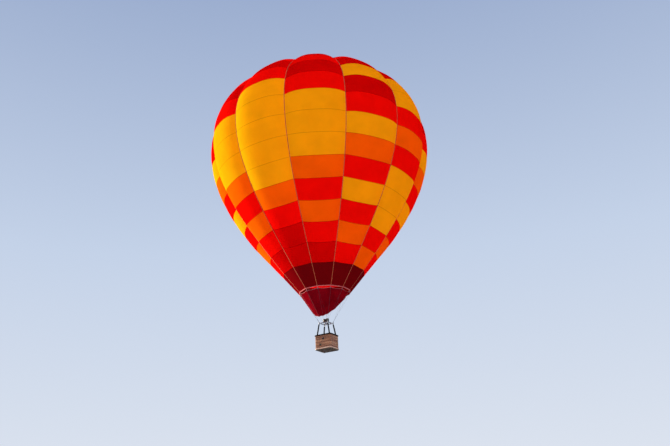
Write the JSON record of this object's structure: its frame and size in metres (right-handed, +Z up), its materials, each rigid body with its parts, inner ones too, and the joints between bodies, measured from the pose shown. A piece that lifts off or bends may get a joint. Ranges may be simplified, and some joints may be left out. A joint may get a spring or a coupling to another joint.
{
  "type": "hot air balloon",
  "caption": "Hot air balloon with a striped gored envelope, parachute valve, scoop, gimballed twin burner and wicker basket.",
  "frame": {"origin": "on the balloon's upright axis at its centre of buoyancy, 14.8 m above the underside of the basket", "axes": "+Z up along the envelope's axis, -Y towards the basket's wide front wall, over which the scoop hangs, +X to the right of it"},
  "size_m": [17.0622, 17.0622, 22.3509],
  "materials": {
    "fabric": "coated ripstop nylon",
    "tape": "woven polyester load tape",
    "scoop_fabric": "flame resistant woven fabric",
    "alloy": "satin",
    "steel": "satin stainless",
    "cover": "padded woven cover",
    "wicker": "woven willow, varnished",
    "leather": "suede over a padded rim",
    "rawhide": "pale rawhide",
    "plywood": "marine plywood",
    "skid": "dark hardwood runner",
    "cylinder": "stainless cylinder in a padded jacket"
  },
  "bodies": {
    "balloon": {"gore_01": "fabric", "gore_02": "fabric", "gore_03": "fabric", "gore_04": "fabric", "gore_05": "fabric", "gore_06": "fabric", "gore_07": "fabric", "gore_08": "fabric", "gore_09": "fabric", "gore_10": "fabric", "gore_11": "fabric", "gore_12": "fabric", "load_tapes": "tape", "crown_ring": "alloy", "scoop": "scoop_fabric", "shackle_front_right": "steel", "shackle_back_right": "steel", "shackle_back_left": "steel", "shackle_front_left": "steel", "flying_wire_01": "steel", "flying_wire_02": "steel", "flying_wire_03": "steel", "flying_wire_04": "steel", "flying_wire_05": "steel", "flying_wire_06": "steel", "flying_wire_07": "steel", "flying_wire_08": "steel", "flying_wire_09": "steel", "flying_wire_10": "steel", "flying_wire_11": "steel", "flying_wire_12": "steel", "load_frame": "steel", "upright_front_right": "cover", "upright_back_right": "cover", "upright_back_left": "cover", "upright_front_left": "cover", "basket_wall": "wicker", "basket_rim": "leather", "basket_skirt": "rawhide", "basket_floor": "plywood", "runner_1": "skid", "runner_2": "skid", "runner_3": "skid", "runner_4": "skid", "fuel_cylinder_1": "cylinder", "fuel_cylinder_2": "cylinder", "fuel_cylinder_3": "cylinder", "fuel_cylinder_4": "cylinder"},
    "valve": {"parachute_valve": "fabric"},
    "gimbal": {"gimbal_ring": "steel"},
    "burner": {"burner": "steel"}
  },
  "joints": [
    {"name": "valve_slide", "type": "slide", "parent": "balloon", "child": "valve", "axis": [0, 0, -1], "range_m": [0, 0.9]},
    {"name": "gimbal_pitch", "type": "hinge", "parent": "balloon", "child": "gimbal", "pos_m": [0, 0, -12.82], "axis": [1, 0, 0], "range_deg": [-15, 15]},
    {"name": "burner_roll", "type": "hinge", "parent": "gimbal", "child": "burner", "pos_m": [0, 0, -12.82], "axis": [0, 1, 0], "range_deg": [-15, 15]}
  ]
}
